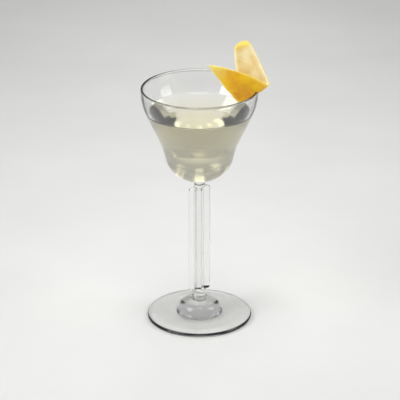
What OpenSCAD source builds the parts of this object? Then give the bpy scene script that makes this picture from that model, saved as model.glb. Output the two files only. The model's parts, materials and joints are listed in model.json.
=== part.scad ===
// Cocktail in a pressed glass with a notched column stem, and a folded strip of lemon
// peel hooked over the rim. The origin is the middle of the foot's underside, +Z is up
// and the peel sits at the +X side.

/* [Glass] */
// Height of the glass, from the table to the rim
glass_h = 164; // [162:1:168]
// Outer diameter of the rim
rim_d = 76.7; // [76:0.1:78]
// Wall thickness at the rim
rim_wall = 1.5; // [1.2:0.05:1.7]
// Wall thickness at the waist
waist_wall = 2.2; // [1.8:0.05:2.5]
// Angle of the bowl's upper taper from upright
upper_taper = 24.5; // [24:0.5:25]
// Angle of the bowl's lower taper from upright
lower_taper = 15.5; // [15:0.5:16]
// Outer radius of the bowl at its waist
waist_r = 25; // [24.8:0.1:25.2]
// Height of the waist above the table
waist_z = 124.8; // [124:0.1:125.5]

/* [Stem] */
// Width across the column's front face
column_w = 12.6; // [12:0.1:13]
// Angle that the column is turned about the glass's axis
column_turn = 11; // [0:1:20]
// Height of the column's lower end, at the neck
column_z0 = 18.2; // [18:0.1:19]
// Height of the column's upper end, at the neck
column_z1 = 95.2; // [94.5:0.1:96]
// Radius of the round neck over the column
upper_neck_r = 3.4; // [3:0.1:4]
// Radius of the round neck under the column
lower_neck_r = 4.6; // [4.2:0.1:5]

/* [Foot] */
// Diameter of the round foot
foot_d = 70.6; // [68:0.1:74]
// Thickness of the foot at its edge
foot_edge = 2.4; // [2:0.1:3]
// Radius of the foot's raised middle
dome_r = 14.8; // [13.5:0.1:16]
// Height of the foot's raised middle
dome_h = 11.8; // [10.5:0.1:12]

/* [Drink] */
// Height of the drink's surface above the table
level_z = 148; // [140:1:152]

/* [Lemon peel] */
// Length of the pointed front wing, from the fold along the strip
front_len = 37.5; // [35:0.5:39]
// Length of the blunt back wing, from the fold along the strip
back_len = 36; // [34:0.5:37]
// Greatest width of the strip
peel_w = 23; // [20:0.5:24]
// Thickness of the rind
peel_t = 2.2; // [1.8:0.1:2.4]
// Angle between the fold and a square cut across the strip
fold_skew = 17; // [15:1:20]
// Angle that the fold rises outwards over the rim
fold_rise = 35; // [32:1:38]

/* [Hidden] */
$fn = 128;
CORNER_STEPS = 8;

rim_r = rim_d / 2;
foot_r = foot_d / 2;

// ---- outlines made of straight runs with rounded corners ----

function unit(v) = v / norm(v);

// Points of one corner p between a and b, rounded to radius r.
function corner(a, p, b, r) =
    let (
        u = unit(a - p),
        v = unit(b - p),
        half = acos(u * v) / 2,
        centre = p + unit(u + v) * r / sin(half),
        from = p + u * r / tan(half) - centre,
        turn = 180 - 2 * half,
        side = sign(u[0] * v[1] - u[1] * v[0])
    )
    r == 0 ? [p] :
    [for (i = [0 : CORNER_STEPS])
        let (a = -side * turn * i / CORNER_STEPS)
        centre + [from[0] * cos(a) - from[1] * sin(a), from[0] * sin(a) + from[1] * cos(a)]];

// A run of [x, y, radius] corners. The first and last stay sharp.
function rounded(list) =
    let (last = len(list) - 1, at = function(i) [list[i][0], list[i][1]])
    [for (i = [0 : last])
        each (i == 0 || i == last ? [at(i)]
            : corner(at(i - 1), at(i), at(i + 1), list[i][2]))];

// ---- bowl ----

waist_inner_r = waist_r - waist_wall;
rim_inner_r = rim_r - rim_wall;
shoulder_z = waist_z + (rim_r - waist_r) / tan(upper_taper);
shoulder_inner_z = waist_z + (rim_inner_r - waist_inner_r) / tan(upper_taper);
belly_z = 102.5;
belly_r = waist_r - (waist_z - belly_z) * tan(lower_taper);
bottom_z = 103.6;
belly_inner_z = 105.6;
belly_inner_r = waist_inner_r - (waist_z - belly_inner_z) * tan(lower_taper);
neck_top_z = 99.75;

bowl_outside = rounded([
    [upper_neck_r + 0.5, column_z1 - 0.5, 0],
    [upper_neck_r, column_z1 + 1.2, 3],
    [upper_neck_r, neck_top_z, 2],
    [belly_r, belly_z, 20],
    [waist_r, waist_z, 15],
    [rim_r, shoulder_z, 36],
    [rim_r, glass_h, rim_wall * 0.45],
    [rim_inner_r, glass_h, rim_wall * 0.45],
    [rim_inner_r, glass_h - rim_wall, 0]
]);

bowl_inside = rounded([
    [rim_inner_r, glass_h - rim_wall, 0],
    [rim_inner_r, shoulder_inner_z, 35],
    [waist_inner_r, waist_z, 16],
    [belly_inner_r, belly_inner_z, 17],
    [0, bottom_z, 0]
]);

module bowl() {
    rotate_extrude()
        polygon(concat([[0, column_z1 - 0.5]], bowl_outside, bowl_inside));
}

// ---- stem ----

// The column's outline: a square with two opposite corners cut away.
notch_w = 3.7;
notch_d = 9.2;
column_half = column_w / 2;
column_reach = column_w * 0.75;
low_slope = 23;        // slope of the column's lower end, out from the neck
high_slope = 19;       // slope of the column's upper end

column_side = [
    [-column_half, -column_half],
    [column_half - notch_w, -column_half],
    [column_half - notch_w, -column_half + notch_d],
    [column_half, -column_half + notch_d]
];

// The column's ends slope away from the necks all round.
column_ends = [
    [0, column_z0],
    [lower_neck_r, column_z0],
    [column_reach, column_z0 + (column_reach - lower_neck_r) * tan(low_slope)],
    [column_reach, column_z1 - (column_reach - upper_neck_r) * tan(high_slope)],
    [upper_neck_r, column_z1],
    [0, column_z1]
];

module column() {
    intersection() {
        rotate_extrude()
            polygon(column_ends);
        translate([0, 0, column_z0 - 1])
            linear_extrude(column_z1 - column_z0 + 2)
                rotate(-column_turn)
                    polygon(concat(column_side, -column_side));
    }
}

// ---- foot and lower neck ----

dome_base_z = 3.8;
bead = 0.4;            // how far the beads of the lower neck stand out

foot_profile = rounded([
    [0, 0, 0],
    [foot_r, 0, 0.8],
    [foot_r, foot_edge, 1.1],
    [dome_r, dome_base_z, 2],
    [dome_r - 2, dome_h - 1, 4.5],
    [lower_neck_r - bead, dome_h, 0.3],
    [lower_neck_r, dome_h + 0.5, 0.3],
    [lower_neck_r - bead, dome_h + 1.2, 0.3],
    [lower_neck_r + bead, dome_h + 2, 0.3],
    [lower_neck_r + bead, dome_h + 3.2, 0.4],
    [lower_neck_r - bead / 2, dome_h + 4.2, 0.6],
    [lower_neck_r, column_z0, 0],
    [0, column_z0, 0]
]);

module foot() {
    rotate_extrude()
        polygon(foot_profile);
}

module glass() {
    color("lightcyan", 0.5) {
        bowl();
        column();
        foot();
    }
}

// ---- drink ----

module drink() {
    color("khaki", 0.7)
        rotate_extrude()
            intersection() {
                polygon(concat([[0, glass_h]], bowl_inside));
                square([rim_r, level_z]);
            }
}

// ---- lemon peel ----

PEEL_ROWS = 48;
PEEL_COLS = 8;
peel_azimuth = -8;     // where the peel hangs on the rim
fold_r = 2.4;          // radius of the fold, at the middle of the rind
front_lean = 20;       // lean of the front wing from upright, towards -Y
back_lean = 20;        // lean of the back wing from upright, towards +Y
wing_curl = 0.5;       // curl of a wing, in degrees for each mm
fruit_r = 34;          // radius of the fruit across the strip
fold_mid = [35.9, 0, 161.5];
slit_gap = 0.25;       // room between the slit and the glass
tip_bow = 1.2;         // how far the front wing's middle line bows outwards
half_w = peel_w / 2;
tip_w = 0.3;

fold_turn = 180 - front_lean - back_lean;
fold_len = fold_r * fold_turn * PI / 180;
fold_axis = [cos(fold_rise), 0, sin(fold_rise)];
fold_up = [-sin(fold_rise), 0, cos(fold_rise)];

// Half the strip's width at p along its middle line: pointed at one end, blunt at the other.
function half_width(p) =
    p < 0 ? half_w * (1 - pow(-p / front_len, 1.5)) + tip_w
        : (half_w - 6.6 * pow(p / back_len, 1.2)) * sqrt(1 - pow(p / back_len, 14)) + tip_w;

// How far the strip's middle line lies to one side at p.
function bow(p) = p < 0 ? tip_bow * sin(-180 * p / front_len) : 0;

// Heading of the rind in the plane square to the fold, t mm from the fold: 0 is along +Y.
function in_fold(t) = max(-fold_len / 2, min(fold_len / 2, t));
function heading(t) =
    (front_lean - back_lean) / 2 + in_fold(t) / fold_len * fold_turn
    + (t - in_fold(t)) * wing_curl;

// The step along an arc whose heading goes from a to b, at k degrees for each mm.
function arc_step(a, b, k) = [sin(b) - sin(a), cos(a) - cos(b)] * 180 / PI / k;

function rind_line(t) =
    arc_step(heading(0), heading(in_fold(t)), fold_turn / fold_len)
    + arc_step(heading(in_fold(t)), heading(t), wing_curl);

// A point of the rind: p along the strip, q across it, h out from the middle of the rind.
function peel_point(p, q, h) =
    let (
        t = p * cos(fold_skew) - q * sin(fold_skew),
        along = p * sin(fold_skew) + q * cos(fold_skew),
        a = heading(t),
        crown = q * q / 2 / fruit_r * (0.45 + 0.55 * t * t / (t * t + 80)),
        line = rind_line(t) + [sin(a), -cos(a)] * (h - crown)
    )
    fold_mid + fold_axis * along + [0, line[0], 0] + fold_up * line[1];

peel_points = [
    for (i = [0 : PEEL_ROWS], j = [0 : PEEL_COLS], h = [peel_t / 2, -peel_t / 2])
        let (
            x = 2 * i / PEEL_ROWS - 1,
            p = (x < 0 ? front_len : back_len) * sign(x) * pow(abs(x), 1.4)
        )
        peel_point(p, bow(p) + half_width(p) * (2 * j / PEEL_COLS - 1), h)
];

function at(i, j, side) = (i * (PEEL_COLS + 1) + j) * 2 + side;
function quad(a, b, c, d) = [[a, b, c], [a, c, d]];

peel_faces = [
    for (i = [0 : PEEL_ROWS - 1], j = [0 : PEEL_COLS - 1]) each concat(
        quad(at(i, j, 0), at(i, j + 1, 0), at(i + 1, j + 1, 0), at(i + 1, j, 0)),
        quad(at(i, j, 1), at(i + 1, j, 1), at(i + 1, j + 1, 1), at(i, j + 1, 1))
    ),
    for (i = [0 : PEEL_ROWS - 1]) each concat(
        quad(at(i, 0, 0), at(i + 1, 0, 0), at(i + 1, 0, 1), at(i, 0, 1)),
        quad(at(i, PEEL_COLS, 0), at(i, PEEL_COLS, 1), at(i + 1, PEEL_COLS, 1), at(i + 1, PEEL_COLS, 0))
    ),
    for (j = [0 : PEEL_COLS - 1]) each concat(
        quad(at(0, j, 0), at(0, j, 1), at(0, j + 1, 1), at(0, j + 1, 0)),
        quad(at(PEEL_ROWS, j, 0), at(PEEL_ROWS, j + 1, 0), at(PEEL_ROWS, j + 1, 1), at(PEEL_ROWS, j, 1))
    )
];

module slit() {
    translate([rim_inner_r - slit_gap, -rim_r / 2, glass_h - rim_r / 2])
        cube([rim_wall + 2 * slit_gap, rim_r, rim_r / 2]);
}

module lemon_peel() {
    color("gold")
        rotate(peel_azimuth)
            difference() {
                polyhedron(peel_points, peel_faces);
                slit();
            }
}

glass();
drink();
lemon_peel();
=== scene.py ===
import json
import math

import bmesh
import bpy
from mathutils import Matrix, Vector

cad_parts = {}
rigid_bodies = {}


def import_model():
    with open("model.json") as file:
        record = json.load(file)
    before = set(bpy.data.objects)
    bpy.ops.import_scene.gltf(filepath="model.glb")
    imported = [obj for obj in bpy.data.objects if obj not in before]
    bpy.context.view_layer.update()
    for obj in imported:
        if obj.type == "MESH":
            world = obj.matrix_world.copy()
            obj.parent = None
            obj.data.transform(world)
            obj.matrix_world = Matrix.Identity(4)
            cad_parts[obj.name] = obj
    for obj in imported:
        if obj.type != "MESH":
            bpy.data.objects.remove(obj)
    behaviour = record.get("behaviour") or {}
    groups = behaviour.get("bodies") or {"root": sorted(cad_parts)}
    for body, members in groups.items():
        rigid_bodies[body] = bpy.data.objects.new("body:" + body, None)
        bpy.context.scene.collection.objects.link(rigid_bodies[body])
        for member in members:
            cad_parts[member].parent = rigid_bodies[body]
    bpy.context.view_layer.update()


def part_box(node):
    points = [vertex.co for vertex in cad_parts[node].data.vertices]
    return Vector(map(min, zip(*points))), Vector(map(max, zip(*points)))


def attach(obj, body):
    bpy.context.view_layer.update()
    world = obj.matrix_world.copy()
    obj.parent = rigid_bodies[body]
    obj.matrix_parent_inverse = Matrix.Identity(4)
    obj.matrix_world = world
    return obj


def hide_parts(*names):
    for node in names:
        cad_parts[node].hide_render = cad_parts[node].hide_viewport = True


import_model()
mm = 0.001


def pickOnly(piece):
    if bpy.context.object and bpy.context.object.mode != "OBJECT":
        bpy.ops.object.mode_set(mode="OBJECT")
    bpy.ops.object.select_all(action="DESELECT")
    piece.select_set(True)
    bpy.context.view_layer.objects.active = piece


def openPiece(piece):
    pickOnly(piece)
    bpy.ops.object.mode_set(mode="EDIT")
    bpy.ops.mesh.select_mode(type="VERT")
    bpy.ops.mesh.select_all(action="DESELECT")


def closePiece(piece):
    bpy.ops.object.mode_set(mode="OBJECT")
    pickOnly(piece)
    bpy.ops.object.transform_apply(location=True, rotation=True, scale=True)


def pickVerts(piece, wanted):
    # wanted takes a vertex and says whether it is picked
    shape = bmesh.from_edit_mesh(piece.data)
    for vert in shape.verts:
        vert.select = wanted(vert)
    shape.select_flush_mode()
    bmesh.update_edit_mesh(piece.data, loop_triangles=False, destructive=False)


def pickFaces(piece, wanted):
    bpy.ops.mesh.select_mode(type="FACE")
    shape = bmesh.from_edit_mesh(piece.data)
    for face in shape.faces:
        face.select = wanted(face)
    shape.select_flush_mode()
    bmesh.update_edit_mesh(piece.data, loop_triangles=False, destructive=False)


def turn(angle, axis, centre):
    # with no window the rotate operator turns the other way
    bpy.ops.transform.rotate(value=-angle, orient_axis=axis, center_override=centre)


def applyModifier(piece, kind, **settings):
    pickOnly(piece)
    bpy.ops.object.modifier_add(type=kind)
    modifier = piece.modifiers[-1]
    for key, value in settings.items():
        setattr(modifier, key, value)
    bpy.ops.object.modifier_apply(modifier=modifier.name)


def joinSolid(piece, other, how):
    applyModifier(piece, "BOOLEAN", operation=how, solver="EXACT", object=other)
    bpy.data.objects.remove(other)


def roundCorners(corners, steps=10):
    # corners are (x, z, radius); each becomes an arc that meets both runs smoothly
    points = [Vector(corners[0][:2])]
    for before, here, after in zip(corners, corners[1:], corners[2:]):
        corner = Vector(here[:2])
        back = (Vector(before[:2]) - corner).normalized()
        ahead = (Vector(after[:2]) - corner).normalized()
        half = back.angle(ahead) / 2
        if here[2] == 0:
            points.append(corner)
            continue
        centre = corner + (back + ahead).normalized() * here[2] / math.sin(half)
        start = corner + back * here[2] / math.tan(half) - centre
        side = -math.copysign(1, back.x * ahead.y - back.y * ahead.x)
        for step in range(steps + 1):
            swing = side * (math.pi - 2 * half) * step / steps
            points.append(centre + Vector((
                start.x * math.cos(swing) - start.y * math.sin(swing),
                start.x * math.sin(swing) + start.y * math.cos(swing))))
    points.append(Vector(corners[-1][:2]))
    return points


def lathe(name, outline, segments):
    # a single point is drawn along the outline and spun round the upright axis
    first = outline[0]
    bpy.ops.object.select_all(action="DESELECT")
    bpy.ops.mesh.primitive_plane_add(size=mm, location=(first.x * mm, 0, first.y * mm))
    piece = bpy.context.object
    piece.name = name
    bpy.ops.object.mode_set(mode="EDIT")
    bpy.ops.mesh.select_mode(type="VERT")
    bpy.ops.mesh.select_all(action="SELECT")
    bpy.ops.mesh.merge(type="CENTER")
    for here, there in zip(outline, outline[1:]):
        step = (there - here) * mm
        bpy.ops.mesh.extrude_vertices_move(
            TRANSFORM_OT_translate={"value": (step.x, 0, step.y)})
    bpy.ops.mesh.select_all(action="SELECT")
    bpy.ops.mesh.spin(steps=segments, angle=2 * math.pi, center=(0, 0, 0), axis=(0, 0, 1))
    bpy.ops.mesh.select_all(action="SELECT")
    bpy.ops.mesh.remove_doubles(threshold=0.004 * mm)
    bpy.ops.mesh.normals_make_consistent(inside=False)
    closePiece(piece)
    return piece


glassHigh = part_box("glass")[1]
# the glass, in millimetres
glassSize = {
    "rimRadius": glassHigh.x / mm,
    "height": glassHigh.z / mm,
    "rimWall": 1.5,
    "waistWall": 2.2,
    "waistRadius": 25,
    "waistHeight": 124.8,
    "upperTaper": math.radians(24.5),
    "lowerTaper": math.radians(15.5),
    "bellyHeight": 102.5,
    "insideBottom": 103.6,
    "bottomRise": 2,  # from the inside's lowest point up to its rounded corner
    "lipShare": 0.48,  # the rim's rounding as a share of its wall
    "neckRadius": 3.4,
    "neckTop": 99.75,
    "columnWidth": 12.6,
    "columnTurn": math.radians(-11),
    "columnLow": 18.2,
    "columnHigh": 95.2,
    "cornerRadii": (6.88, 8.91),
    "lowSlope": math.radians(23),
    "highSlope": math.radians(19),
    "notchWidth": 3.7,
    "notchDepth": 9.2,
    "columnEdge": 0.8,
    "footRadius": 35.3,
    "footEdge": 2.4,
    "footHollow": 0.7,
    "domeBase": 3.8,
    "domeRadius": 14.8,
    "domeHeight": 11.8,
    "lowerNeck": 4.6,
    "bead": 0.4,
    "overlap": 0.6,  # how far the column's neighbours reach into it
    "sharpEdge": math.radians(35),
    "smooth": math.radians(32),
    "segments": 160,
}


def insideCorners(grow):
    # the bowl's inside, grown outwards a little where the drink reaches into the wall
    size = glassSize
    rim = size["rimRadius"] - size["rimWall"]
    waist = size["waistRadius"] - size["waistWall"]
    shoulder = size["waistHeight"] + (rim - waist) / math.tan(size["upperTaper"])
    belly = size["insideBottom"] + size["bottomRise"]
    bellyRadius = waist - (size["waistHeight"] - belly) * math.tan(size["lowerTaper"])
    return [
        (rim + grow, size["height"] - size["rimWall"], 0),
        (rim + grow, shoulder, 35),
        (waist + grow, size["waistHeight"], 16),
        (bellyRadius + grow, belly - grow, 17),
        (0, size["insideBottom"] - grow, 0),
    ]


def bowlOutline():
    size = glassSize
    neck = size["neckRadius"]
    top = size["columnHigh"]
    rim = size["rimRadius"]
    inner = rim - size["rimWall"]
    belly = size["bellyHeight"]
    bellyRadius = size["waistRadius"] - (size["waistHeight"] - belly) * math.tan(size["lowerTaper"])
    shoulder = size["waistHeight"] + (rim - size["waistRadius"]) / math.tan(size["upperTaper"])
    lip = size["rimWall"] * size["lipShare"]
    outside = [
        (0, top - size["overlap"], 0),
        (neck + 0.5, top - size["overlap"], 0),
        (neck, top + 1.2, 3),
        (neck, size["neckTop"], 2),
        (bellyRadius, belly, 20),
        (size["waistRadius"], size["waistHeight"], 15),
        (rim, shoulder, 36),
        (rim, size["height"], lip),
        (inner, size["height"], lip),
        (inner, size["height"] - size["rimWall"], 0),
    ]
    return roundCorners(outside) + roundCorners(insideCorners(0))[1:]


def footOutline():
    size = glassSize
    neck = size["lowerNeck"]
    foot = size["footRadius"]
    dome = size["domeHeight"]
    bead = size["bead"]
    return roundCorners([
        (0, size["footHollow"], 0),
        (foot - 8, size["footHollow"] * 0.6, 20),
        (foot - 3.5, 0, 3),
        (foot, 0, 0.8),
        (foot, size["footEdge"], 1.1),
        (size["domeRadius"], size["domeBase"], 2),
        (size["domeRadius"] - 2, dome - 1, 4.5),
        (neck - bead, dome, 0.3),
        (neck, dome + 0.5, 0.3),
        (neck - bead, dome + 1.2, 0.3),
        (neck + bead, dome + 2, 0.3),
        (neck + bead, dome + 3.2, 0.4),
        (neck - bead / 2, dome + 4.2, 0.6),
        (neck, size["columnLow"] + size["overlap"], 0),
        (0, size["columnLow"] + size["overlap"], 0),
    ])


def buildColumn():
    # a square plate loses two opposite corners, rises to full height,
    # is sloped at both ends towards the neck and has its edges rounded
    size = glassSize
    half = size["columnWidth"] / 2
    cutX = half - size["notchWidth"]
    cutY = size["notchDepth"] - half
    bpy.ops.object.select_all(action="DESELECT")
    bpy.ops.mesh.primitive_plane_add(size=size["columnWidth"] * mm)
    piece = bpy.context.object
    piece.name = "column"
    bpy.ops.object.mode_set(mode="EDIT")
    bpy.ops.transform.translate(value=(0, 0, size["columnLow"] * mm))
    for place, normal in (((cutX, 0), (1, 0)), ((-cutX, 0), (1, 0)),
                          ((0, cutY), (0, 1)), ((0, -cutY), (0, 1))):
        bpy.ops.mesh.select_all(action="SELECT")
        bpy.ops.mesh.bisect(plane_co=(place[0] * mm, place[1] * mm, 0), plane_no=(*normal, 0))

    def inNotch(face):
        middle = face.calc_center_median() / mm
        front = middle.x > cutX and middle.y < cutY
        back = middle.x < -cutX and middle.y > -cutY
        return front or back

    pickFaces(piece, inNotch)
    bpy.ops.mesh.delete(type="FACE")
    bpy.ops.mesh.select_all(action="SELECT")
    bpy.ops.mesh.dissolve_limited(angle_limit=math.radians(1))
    bpy.ops.mesh.select_all(action="SELECT")
    bpy.ops.mesh.extrude_region_move(TRANSFORM_OT_translate={
        "value": (0, 0, (size["columnHigh"] - size["columnLow"]) * mm)})
    bpy.ops.mesh.select_all(action="SELECT")
    bpy.ops.mesh.normals_make_consistent(inside=False)
    for end, slope, neck, way in (("columnLow", "lowSlope", "lowerNeck", 1),
                                  ("columnHigh", "highSlope", "neckRadius", -1)):
        height = size[end]
        bpy.ops.mesh.select_mode(type="VERT")
        for radius in size["cornerRadii"]:
            pickVerts(piece, lambda vert: abs(vert.co.z / mm - height) < 0.1
                      and abs(vert.co.xy.length / mm - radius) < 0.5)
            lift = (radius - size[neck]) * math.tan(size[slope]) * way
            bpy.ops.transform.translate(value=(0, 0, lift * mm))
    bpy.ops.mesh.select_mode(type="EDGE")
    bpy.ops.mesh.select_all(action="DESELECT")
    bpy.ops.mesh.edges_select_sharp(sharpness=size["sharpEdge"])
    bpy.ops.mesh.bevel(offset=size["columnEdge"] * mm, segments=4, affect="EDGES")
    bpy.ops.mesh.select_all(action="SELECT")
    turn(size["columnTurn"], "Z", (0, 0, 0))
    closePiece(piece)
    return piece


def buildGlass():
    piece = lathe("cocktail_glass", bowlOutline(), glassSize["segments"])
    joinSolid(piece, buildColumn(), "UNION")
    joinSolid(piece, lathe("foot", footOutline(), glassSize["segments"]), "UNION")
    pickOnly(piece)
    bpy.ops.object.shade_smooth_by_angle(angle=glassSize["smooth"])
    applyModifier(piece, "WEIGHTED_NORMAL", keep_sharp=True)
    return piece


# the drink, in millimetres
drinkSize = {
    "level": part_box("drink")[1].z / mm,
    "intoWall": 0.2,
    "smooth": math.radians(50),
    # width and drop of each ring, from the wall inwards
    "meniscus": ((0.35, 0.5), (0.45, 0.3), (0.7, 0.18), (1.0, 0.09), (1.4, 0.03)),
}


def buildDrink():
    # the bowl's inside filled up, cut level, and drawn up where it wets the wall
    rise = sum(drop for _, drop in drinkSize["meniscus"])
    outline = roundCorners(insideCorners(drinkSize["intoWall"]), steps=14)
    piece = lathe("drink_fill", outline, glassSize["segments"])
    openPiece(piece)
    bpy.ops.mesh.select_all(action="SELECT")
    bpy.ops.mesh.fill_holes(sides=0)
    bpy.ops.mesh.select_all(action="SELECT")
    bpy.ops.mesh.bisect(
        plane_co=(0, 0, (drinkSize["level"] + rise) * mm), plane_no=(0, 0, 1),
        clear_outer=True, use_fill=True)
    pickFaces(piece, lambda face: len(face.verts) > 8)
    for width, drop in drinkSize["meniscus"]:
        bpy.ops.mesh.inset(thickness=width * mm, depth=-drop * mm)
    bpy.ops.mesh.select_all(action="SELECT")
    bpy.ops.mesh.normals_make_consistent(inside=False)
    closePiece(piece)
    bpy.ops.object.shade_smooth_by_angle(angle=drinkSize["smooth"])
    return piece


# the lemon peel as a flat strip, how it folds and where it hangs, in millimetres
peelSize = {
    "frontLength": 37.5,
    "backLength": 36,
    "width": 23,
    "thickness": 2.2,
    "zestDepth": 0.5,
    "edgePith": 0.6,
    "taperRings": 5,
    "tipWidth": 0.6,
    "bluntness": 6.6,
    "frontBow": 1.2,
    "endLean": 1.3,
    "skew": math.radians(17),
    "rise": math.radians(35),
    "azimuth": math.radians(-8),
    "foldRadius": 2.4,
    "lean": math.radians(20),
    "curl": math.radians(0.5),
    "fruitRadius": 34,
    "foldMiddle": (35.9, 0, 161.5),
    "slitRoom": 0.25,
    "rows": 150,
    "columns": 36,
    "unevenness": (("waves", 7, 0.7), ("pores", 1.3, 0.22)),  # name, grain and depth
    "pointPower": 1.5,
    "bluntPower": 1.2,
    "endPower": 24,
    "endSteepness": 8,
    "crownStep": 0.7,
    "flatBand": 0.5,
    "flatKeep": 0.45,
    "flatFade": 80,
    "tightStep": 0.2,
    "looseStep": 1.5,
    "smooth": math.radians(45),
}


def stripHalfWidth(along):
    # pointed at the front end, blunt at the back end
    size = peelSize
    half = size["width"] / 2
    tip = size["tipWidth"] / 2
    if along < 0:
        return half * (1 - (-along / size["frontLength"]) ** size["pointPower"]) + tip
    share = along / size["backLength"]
    rounding = math.sqrt(max(0, 1 - share ** size["endPower"]))
    return (half - size["bluntness"] * share ** size["bluntPower"]) * rounding + tip


def stripBow(along):
    # the front wing's middle line bows to one side, and the back wing's end leans the same way
    size = peelSize
    if along < 0:
        return size["frontBow"] * math.sin(-math.pi * along / size["frontLength"])
    steep = size["endSteepness"]
    return size["endLean"] * max(0, along / size["backLength"] * steep - (steep - 1)) ** 2


def flatStrip():
    size = peelSize
    bpy.ops.object.select_all(action="DESELECT")
    bpy.ops.mesh.primitive_grid_add(
        x_subdivisions=size["columns"], y_subdivisions=size["rows"], size=mm)
    piece = bpy.context.object
    piece.name = "lemon_twist"
    bpy.ops.object.mode_set(mode="EDIT")
    bpy.ops.mesh.select_all(action="SELECT")
    length = size["frontLength"] + size["backLength"]
    bpy.ops.transform.resize(value=(size["width"], length, 1), center_override=(0, 0, 0))
    bpy.ops.transform.translate(value=(0, (size["backLength"] - size["frontLength"]) / 2 * mm, 0))
    pitch = length / size["rows"]
    for row in range(size["rows"] + 1):
        place = row * pitch - size["frontLength"]
        pickVerts(piece, lambda vert: abs(vert.co.y / mm - place) < pitch / 3)
        narrow = stripHalfWidth(place) / (size["width"] / 2)
        bpy.ops.transform.resize(value=(narrow, 1, 1), center_override=(0, place * mm, 0))
        bpy.ops.transform.translate(value=(stripBow(place) * mm, 0, 0))
    bpy.ops.mesh.select_all(action="SELECT")
    bpy.ops.mesh.remove_doubles(threshold=0.07 * mm)
    return piece


def vertPlaces(piece, axis):
    shape = bmesh.from_edit_mesh(piece.data)
    shape.verts.ensure_lookup_table()
    return [vert.co[axis] / mm for vert in shape.verts]


def crownStrip(piece):
    # the rind keeps the fruit's curve across the strip
    reach = peelSize["width"] / 2
    step = peelSize["crownStep"]
    across = vertPlaces(piece, 0)
    hinges = [reach - step * (i + 0.5) for i in range(int(reach / step))]
    for hinge in hinges:
        for side in (1, -1):
            pickVerts(piece, lambda vert: across[vert.index] * side > hinge)
            turn(-side * step / peelSize["fruitRadius"], "Y", (side * hinge * mm, 0, 0))


def flattenFold(piece):
    # the curve across the strip lies nearly flat where the rind folds
    size = peelSize
    band = size["flatBand"]
    flat = size["flatKeep"]
    reach = int(size["frontLength"] / band)
    along = vertPlaces(piece, 1)
    for step in range(-reach, reach + 1):
        place = step * band
        keep = flat + (1 - flat) * place ** 2 / (place ** 2 + size["flatFade"])
        pickVerts(piece, lambda vert: abs(along[vert.index] - place) <= band / 2)
        bpy.ops.transform.resize(value=(1, 1, keep), center_override=(0, 0, 0))


def thickenStrip(piece):
    size = peelSize
    bpy.ops.mesh.select_all(action="SELECT")
    bpy.ops.transform.translate(value=(0, 0, -size["thickness"] / 2 * mm))
    bpy.ops.mesh.extrude_region_shrink_fatten(
        TRANSFORM_OT_shrink_fatten={"value": size["zestDepth"] * mm})
    piece.active_material_index = 1
    bpy.ops.object.material_slot_assign()
    bpy.ops.mesh.extrude_region_shrink_fatten(
        TRANSFORM_OT_shrink_fatten={"value": size["edgePith"] * mm})
    bpy.ops.mesh.select_mode(type="FACE")
    lift = (size["thickness"] - size["zestDepth"] - size["edgePith"]) / size["taperRings"]
    for ring in range(size["taperRings"]):
        bpy.ops.mesh.select_less()
        bpy.ops.transform.translate(value=(0, 0, lift * mm))
    bpy.ops.mesh.select_mode(type="VERT")


def foldStrip(piece):
    size = peelSize
    bend = math.pi - 2 * size["lean"]
    foldLength = size["foldRadius"] * bend
    tight = size["tightStep"]
    loose = size["looseStep"]
    along = vertPlaces(piece, 1)
    half = foldLength / 2
    hinges = []
    place = size["frontLength"] + 2 * loose
    while place > half:
        hinges.append((place - loose / 2, size["curl"] * loose))
        place -= loose
    count = round(half / tight)
    for i in reversed(range(count)):
        hinges.append(((i + 0.5) * half / count, bend / 2 / count))
    for hinge, amount in hinges:
        for side in (1, -1):
            pickVerts(piece, lambda vert: along[vert.index] * side > hinge)
            turn(side * amount, "X", (0, side * hinge * mm, 0))


def buildPeel():
    size = peelSize
    piece = flatStrip()
    piece.data.materials.append(zestFinish())
    piece.data.materials.append(pithFinish())
    crownStrip(piece)
    bpy.ops.mesh.select_all(action="SELECT")
    turn(-size["skew"], "Z", (0, 0, 0))
    flattenFold(piece)
    thickenStrip(piece)
    foldStrip(piece)
    bpy.ops.mesh.select_all(action="SELECT")
    turn(-size["rise"], "Y", (0, 0, 0))
    bpy.ops.transform.translate(value=[place * mm for place in size["foldMiddle"]])
    bpy.ops.mesh.normals_make_consistent(inside=False)
    closePiece(piece)
    applyModifier(piece, "SUBSURF", levels=1, render_levels=1)
    for kind, grain, depth in size["unevenness"]:
        dimples = bpy.data.textures.new(kind, "CLOUDS")
        dimples.noise_scale = grain * mm
        applyModifier(piece, "DISPLACE", texture=dimples, strength=depth * mm, mid_level=0.5)
    rim = glassSize["rimRadius"]
    wall = glassSize["rimWall"] + 2 * size["slitRoom"]
    bpy.ops.object.select_all(action="DESELECT")
    bpy.ops.mesh.primitive_cube_add(
        size=1, scale=(wall * mm, rim * mm, rim * mm),
        location=((rim - glassSize["rimWall"] / 2) * mm, 0, (glassSize["height"] - rim / 2) * mm))
    knife = bpy.context.object
    for finish in piece.data.materials:
        knife.data.materials.append(finish)
    for face in knife.data.polygons:
        face.material_index = 1
    joinSolid(piece, knife, "DIFFERENCE")
    openPiece(piece)
    bpy.ops.mesh.select_all(action="SELECT")
    turn(size["azimuth"], "Z", (0, 0, 0))
    closePiece(piece)
    bpy.ops.object.shade_smooth_by_angle(angle=size["smooth"])
    return piece


def newFinish(name):
    finish = bpy.data.materials.new(name)
    finish.use_nodes = True
    return finish, finish.node_tree, finish.node_tree.nodes["Principled BSDF"]


def addNode(tree, kind, **settings):
    node = tree.nodes.new(kind)
    for key, value in settings.items():
        if key in node.inputs:
            node.inputs[key].default_value = value
        else:
            setattr(node, key, value)
    return node


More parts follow.
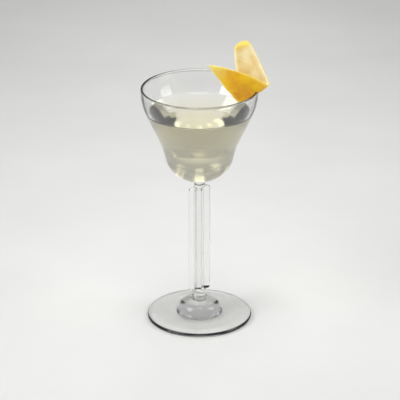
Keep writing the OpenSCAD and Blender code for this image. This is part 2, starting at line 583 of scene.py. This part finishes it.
def glassFinish():
    finish, tree, shader = newFinish("clear_pressed_glass")
    shader.inputs["Base Color"].default_value = (0.985, 0.985, 0.98, 1)
    shader.inputs["Roughness"].default_value = 0.0
    shader.inputs["IOR"].default_value = 1.5
    shader.inputs["Transmission Weight"].default_value = 1.0
    place = addNode(tree, "ShaderNodeTexCoord")
    wave = addNode(tree, "ShaderNodeTexNoise", Scale=55.0, Detail=2.0)
    bump = addNode(tree, "ShaderNodeBump", Strength=0.06, Distance=0.001)
    tree.links.new(place.outputs["Object"], wave.inputs["Vector"])
    tree.links.new(wave.outputs["Fac"], bump.inputs["Height"])
    tree.links.new(bump.outputs["Normal"], shader.inputs["Normal"])
    body = addNode(tree, "ShaderNodeVolumeAbsorption", Color=(0.82, 0.83, 0.825, 1), Density=40.0)
    tree.links.new(body.outputs["Volume"], tree.nodes["Material Output"].inputs["Volume"])
    return finish


def drinkFinish():
    finish, tree, shader = newFinish("pale_straw_drink")
    shader.inputs["Base Color"].default_value = (1, 1, 1, 1)
    shader.inputs["Roughness"].default_value = 0.0
    shader.inputs["IOR"].default_value = 1.355
    shader.inputs["Transmission Weight"].default_value = 1.0
    depth = addNode(tree, "ShaderNodeVolumeAbsorption", Color=(0.995, 0.955, 0.68, 1), Density=22.0)
    tree.links.new(depth.outputs["Volume"], tree.nodes["Material Output"].inputs["Volume"])
    return finish


def ramp(tree, *stops):
    node = tree.nodes.new("ShaderNodeValToRGB")
    node.color_ramp.elements.remove(node.color_ramp.elements[0])
    for index, (place, color) in enumerate(stops):
        stop = node.color_ramp.elements[0] if index == 0 else node.color_ramp.elements.new(place)
        stop.position = place
        stop.color = (*color, 1)
    return node


def mixColor(tree, share, first, second):
    # share, first and second are sockets or plain colours
    node = tree.nodes.new("ShaderNodeMix")
    node.data_type = "RGBA"
    sockets = node.inputs[0], node.inputs[6], node.inputs[7]
    for value, socket in zip((share, first, second), sockets):
        if isinstance(value, bpy.types.NodeSocket):
            tree.links.new(value, socket)
        else:
            socket.default_value = (*value, 1)
    return node.outputs[2]


def stripPlaces(tree):
    # how near a cut side is, 0 to 1, and how far along the strip
    uv = tree.nodes.new("ShaderNodeUVMap")
    split = tree.nodes.new("ShaderNodeSeparateXYZ")
    tree.links.new(uv.outputs["UV"], split.inputs["Vector"])
    centred = addNode(tree, "ShaderNodeMath", operation="MULTIPLY_ADD")
    centred.inputs[1].default_value = 2
    centred.inputs[2].default_value = -1
    tree.links.new(split.outputs["X"], centred.inputs[0])
    edge = addNode(tree, "ShaderNodeMath", operation="ABSOLUTE")
    tree.links.new(centred.outputs[0], edge.inputs[0])
    return edge.outputs[0], split.outputs["Y"]


def zestFinish():
    finish, tree, shader = newFinish("lemon_zest")
    shader.inputs["Roughness"].default_value = 0.38
    shader.inputs["Subsurface Weight"].default_value = 0.12
    shader.inputs["Subsurface Radius"].default_value = (1.0, 0.6, 0.1)
    shader.inputs["Subsurface Scale"].default_value = 0.0012
    edge, along = stripPlaces(tree)
    place = addNode(tree, "ShaderNodeTexCoord")
    blotch = addNode(tree, "ShaderNodeTexNoise", Scale=75.0, Detail=4.0)
    body = ramp(
        tree, (0.34, (0.80, 0.34, 0.002)), (0.5, (0.93, 0.53, 0.003)), (0.66, (0.97, 0.68, 0.012)))
    # painted highlight: the zest turns paler yellow near both cut sides, where the curved wing
    # catches the side light
    paintedEdgeHighlight = ramp(tree, (0.78, (0, 0, 0)), (0.97, (0.75, 0.75, 0.75)))
    # painted highlight: the zest turns paler yellow at the pointed front end, where the tip turns
    # up towards the light
    tip = ramp(tree, (0.0, (0.9, 0.9, 0.9)), (0.2, (0.0, 0.0, 0.0)))
    pores = addNode(tree, "ShaderNodeTexVoronoi", Scale=700.0)
    poreShade = ramp(tree, (0.05, (0.90, 0.88, 0.84)), (0.4, (1, 1, 1)))
    bump = addNode(tree, "ShaderNodeBump", Strength=0.4, Distance=0.0004)
    tree.links.new(place.outputs["Object"], blotch.inputs["Vector"])
    tree.links.new(place.outputs["Object"], pores.inputs["Vector"])
    tree.links.new(blotch.outputs["Fac"], body.inputs["Fac"])
    tree.links.new(edge, paintedEdgeHighlight.inputs["Fac"])
    tree.links.new(along, tip.inputs["Fac"])
    tree.links.new(pores.outputs["Distance"], poreShade.inputs["Fac"])
    # the painted highlights go over the zest's own blotchy colour: first the pale cut sides, then
    # the pale front tip
    tinted = mixColor(tree, paintedEdgeHighlight.outputs["Color"], body.outputs["Color"], (0.96, 0.78, 0.16))
    tinted = mixColor(tree, tip.outputs["Color"], tinted, (0.93, 0.80, 0.24))
    shaded = addNode(tree, "ShaderNodeMix", data_type="RGBA", blend_type="MULTIPLY")
    shaded.inputs[0].default_value = 1
    tree.links.new(tinted, shaded.inputs[6])
    tree.links.new(poreShade.outputs["Color"], shaded.inputs[7])
    tree.links.new(shaded.outputs[2], shader.inputs["Base Color"])
    tree.links.new(pores.outputs["Distance"], bump.inputs["Height"])
    tree.links.new(bump.outputs["Normal"], shader.inputs["Normal"])
    return finish


def pithFinish():
    finish, tree, shader = newFinish("lemon_pith")
    shader.inputs["Roughness"].default_value = 0.65
    shader.inputs["Subsurface Weight"].default_value = 0.12
    shader.inputs["Subsurface Radius"].default_value = (1.0, 0.8, 0.4)
    shader.inputs["Subsurface Scale"].default_value = 0.0015
    edge, along = stripPlaces(tree)
    place = addNode(tree, "ShaderNodeTexCoord")
    blotch = addNode(tree, "ShaderNodeTexNoise", Scale=120.0, Detail=6.0)
    body = ramp(
        tree, (0.32, (0.74, 0.53, 0.19)), (0.52, (0.85, 0.68, 0.33)), (0.70, (0.92, 0.81, 0.50)))
    rind = ramp(tree, (0.72, (0, 0, 0)), (0.85, (0.55, 0.55, 0.55)), (0.92, (0, 0, 0)))
    end = ramp(tree, (0.93, (0, 0, 0)), (0.965, (0.8, 0.8, 0.8)))
    bump = addNode(tree, "ShaderNodeBump", Strength=0.35, Distance=0.0004)
    tree.links.new(place.outputs["Object"], blotch.inputs["Vector"])
    tree.links.new(blotch.outputs["Fac"], body.inputs["Fac"])
    tree.links.new(edge, rind.inputs["Fac"])
    tree.links.new(along, end.inputs["Fac"])
    tinted = mixColor(tree, rind.outputs["Color"], body.outputs["Color"], (0.95, 0.82, 0.36))
    cut = ramp(tree, (0.90, (0, 0, 0)), (0.96, (0.9, 0.9, 0.9)))
    tree.links.new(edge, cut.inputs["Fac"])
    tinted = mixColor(tree, cut.outputs["Color"], tinted, (0.96, 0.92, 0.76))
    tinted = mixColor(tree, end.outputs["Color"], tinted, (0.92, 0.70, 0.10))
    tree.links.new(tinted, shader.inputs["Base Color"])
    tree.links.new(blotch.outputs["Fac"], bump.inputs["Height"])
    tree.links.new(bump.outputs["Normal"], shader.inputs["Normal"])
    return finish


def floorFinish():
    finish, tree, shader = newFinish("pale_floor")
    shader.inputs["Roughness"].default_value = 0.8
    place = addNode(tree, "ShaderNodeTexCoord")
    grain = addNode(tree, "ShaderNodeTexNoise", Scale=9.0, Detail=4.0)
    shade = ramp(tree, (0.3, (0.70, 0.70, 0.69)), (0.7, (0.74, 0.74, 0.73)))
    tree.links.new(place.outputs["Object"], grain.inputs["Vector"])
    tree.links.new(grain.outputs["Fac"], shade.inputs["Fac"])
    tree.links.new(shade.outputs["Color"], shader.inputs["Base Color"])
    return finish


# camera, lights and floor, in metres and watts
studio = {
    "cameraPlace": (0.0004, -1.232, 0.608),
    "cameraTarget": (0.0004, 0, 0.0847),
    "lens": 180.9,
    "worldLow": 0.36,
    "worldHigh": 0.54,
    "worldRise": 0.6,
    "floorSize": 8,
    "floorDrop": 0.00005,
    # name, place, aim, size, power and spread in degrees
    "boxes": (
        ("left_box", (-0.7, -0.35, 0.5), (0, 0, 0.13), (0.5, 0.8), 2.0, 100),
        ("right_box", (0.7, -0.15, 0.5), (0, 0, 0.13), (0.4, 0.8), 1.1, 100),
        ("back_box", (0.0, 0.3, 0.7), (0, 0.3, 0), (0.2, 1.0), 0.42, 70),
    ),
}


def softbox(name, place, aim, size, power, spread):
    bpy.ops.object.light_add(type="AREA", location=place)
    lamp = bpy.context.object
    lamp.name = name
    lamp.data.shape = "RECTANGLE"
    lamp.data.size, lamp.data.size_y = size
    lamp.data.energy = power
    lamp.data.spread = math.radians(spread)
    lamp.rotation_euler = (Vector(aim) - Vector(place)).to_track_quat("-Z", "Y").to_euler()


def buildStudio():
    bpy.ops.object.select_all(action="DESELECT")
    bpy.ops.mesh.primitive_plane_add(
        size=studio["floorSize"], location=(0, 0, -studio["floorDrop"]))
    floor = bpy.context.object
    floor.name = "floor"
    floor.data.materials.append(floorFinish())

    for box in studio["boxes"]:
        softbox(*box)

    world = bpy.data.worlds.new("studio")
    world.use_nodes = True
    bpy.context.scene.world = world
    tree = world.node_tree
    place = addNode(tree, "ShaderNodeTexCoord")
    split = addNode(tree, "ShaderNodeSeparateXYZ")
    low, high = studio["worldLow"], studio["worldHigh"]
    shade = ramp(tree, (0.0, (low, low, low)), (studio["worldRise"], (high, high, high)))
    tree.links.new(place.outputs["Generated"], split.inputs["Vector"])
    tree.links.new(split.outputs["Z"], shade.inputs["Fac"])
    tree.links.new(shade.outputs["Color"], tree.nodes["Background"].inputs["Color"])

    bpy.ops.object.camera_add(location=studio["cameraPlace"])
    camera = bpy.context.object
    camera.data.lens = studio["lens"]
    camera.data.clip_end = 20
    aim = (Vector(studio["cameraTarget"]) - Vector(studio["cameraPlace"])).to_track_quat("-Z", "Y")
    camera.rotation_euler = aim.to_euler()
    bpy.context.scene.camera = camera
    bpy.context.scene.view_settings.view_transform = "Standard"
    bpy.context.scene.cycles.blur_glossy = 0  # light keeps its sharp way through the glass


print("glass")
glass = buildGlass()
glass.data.materials.append(glassFinish())
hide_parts("glass")
print("drink")
drink = buildDrink()
drink.data.materials.append(drinkFinish())
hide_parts("drink")
print("lemon peel")
peel = buildPeel()
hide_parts("lemon_peel")
for piece in (glass, drink, peel):
    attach(piece, "root")
    print(piece.name, len(piece.data.polygons), "faces")
print("studio")
buildStudio()
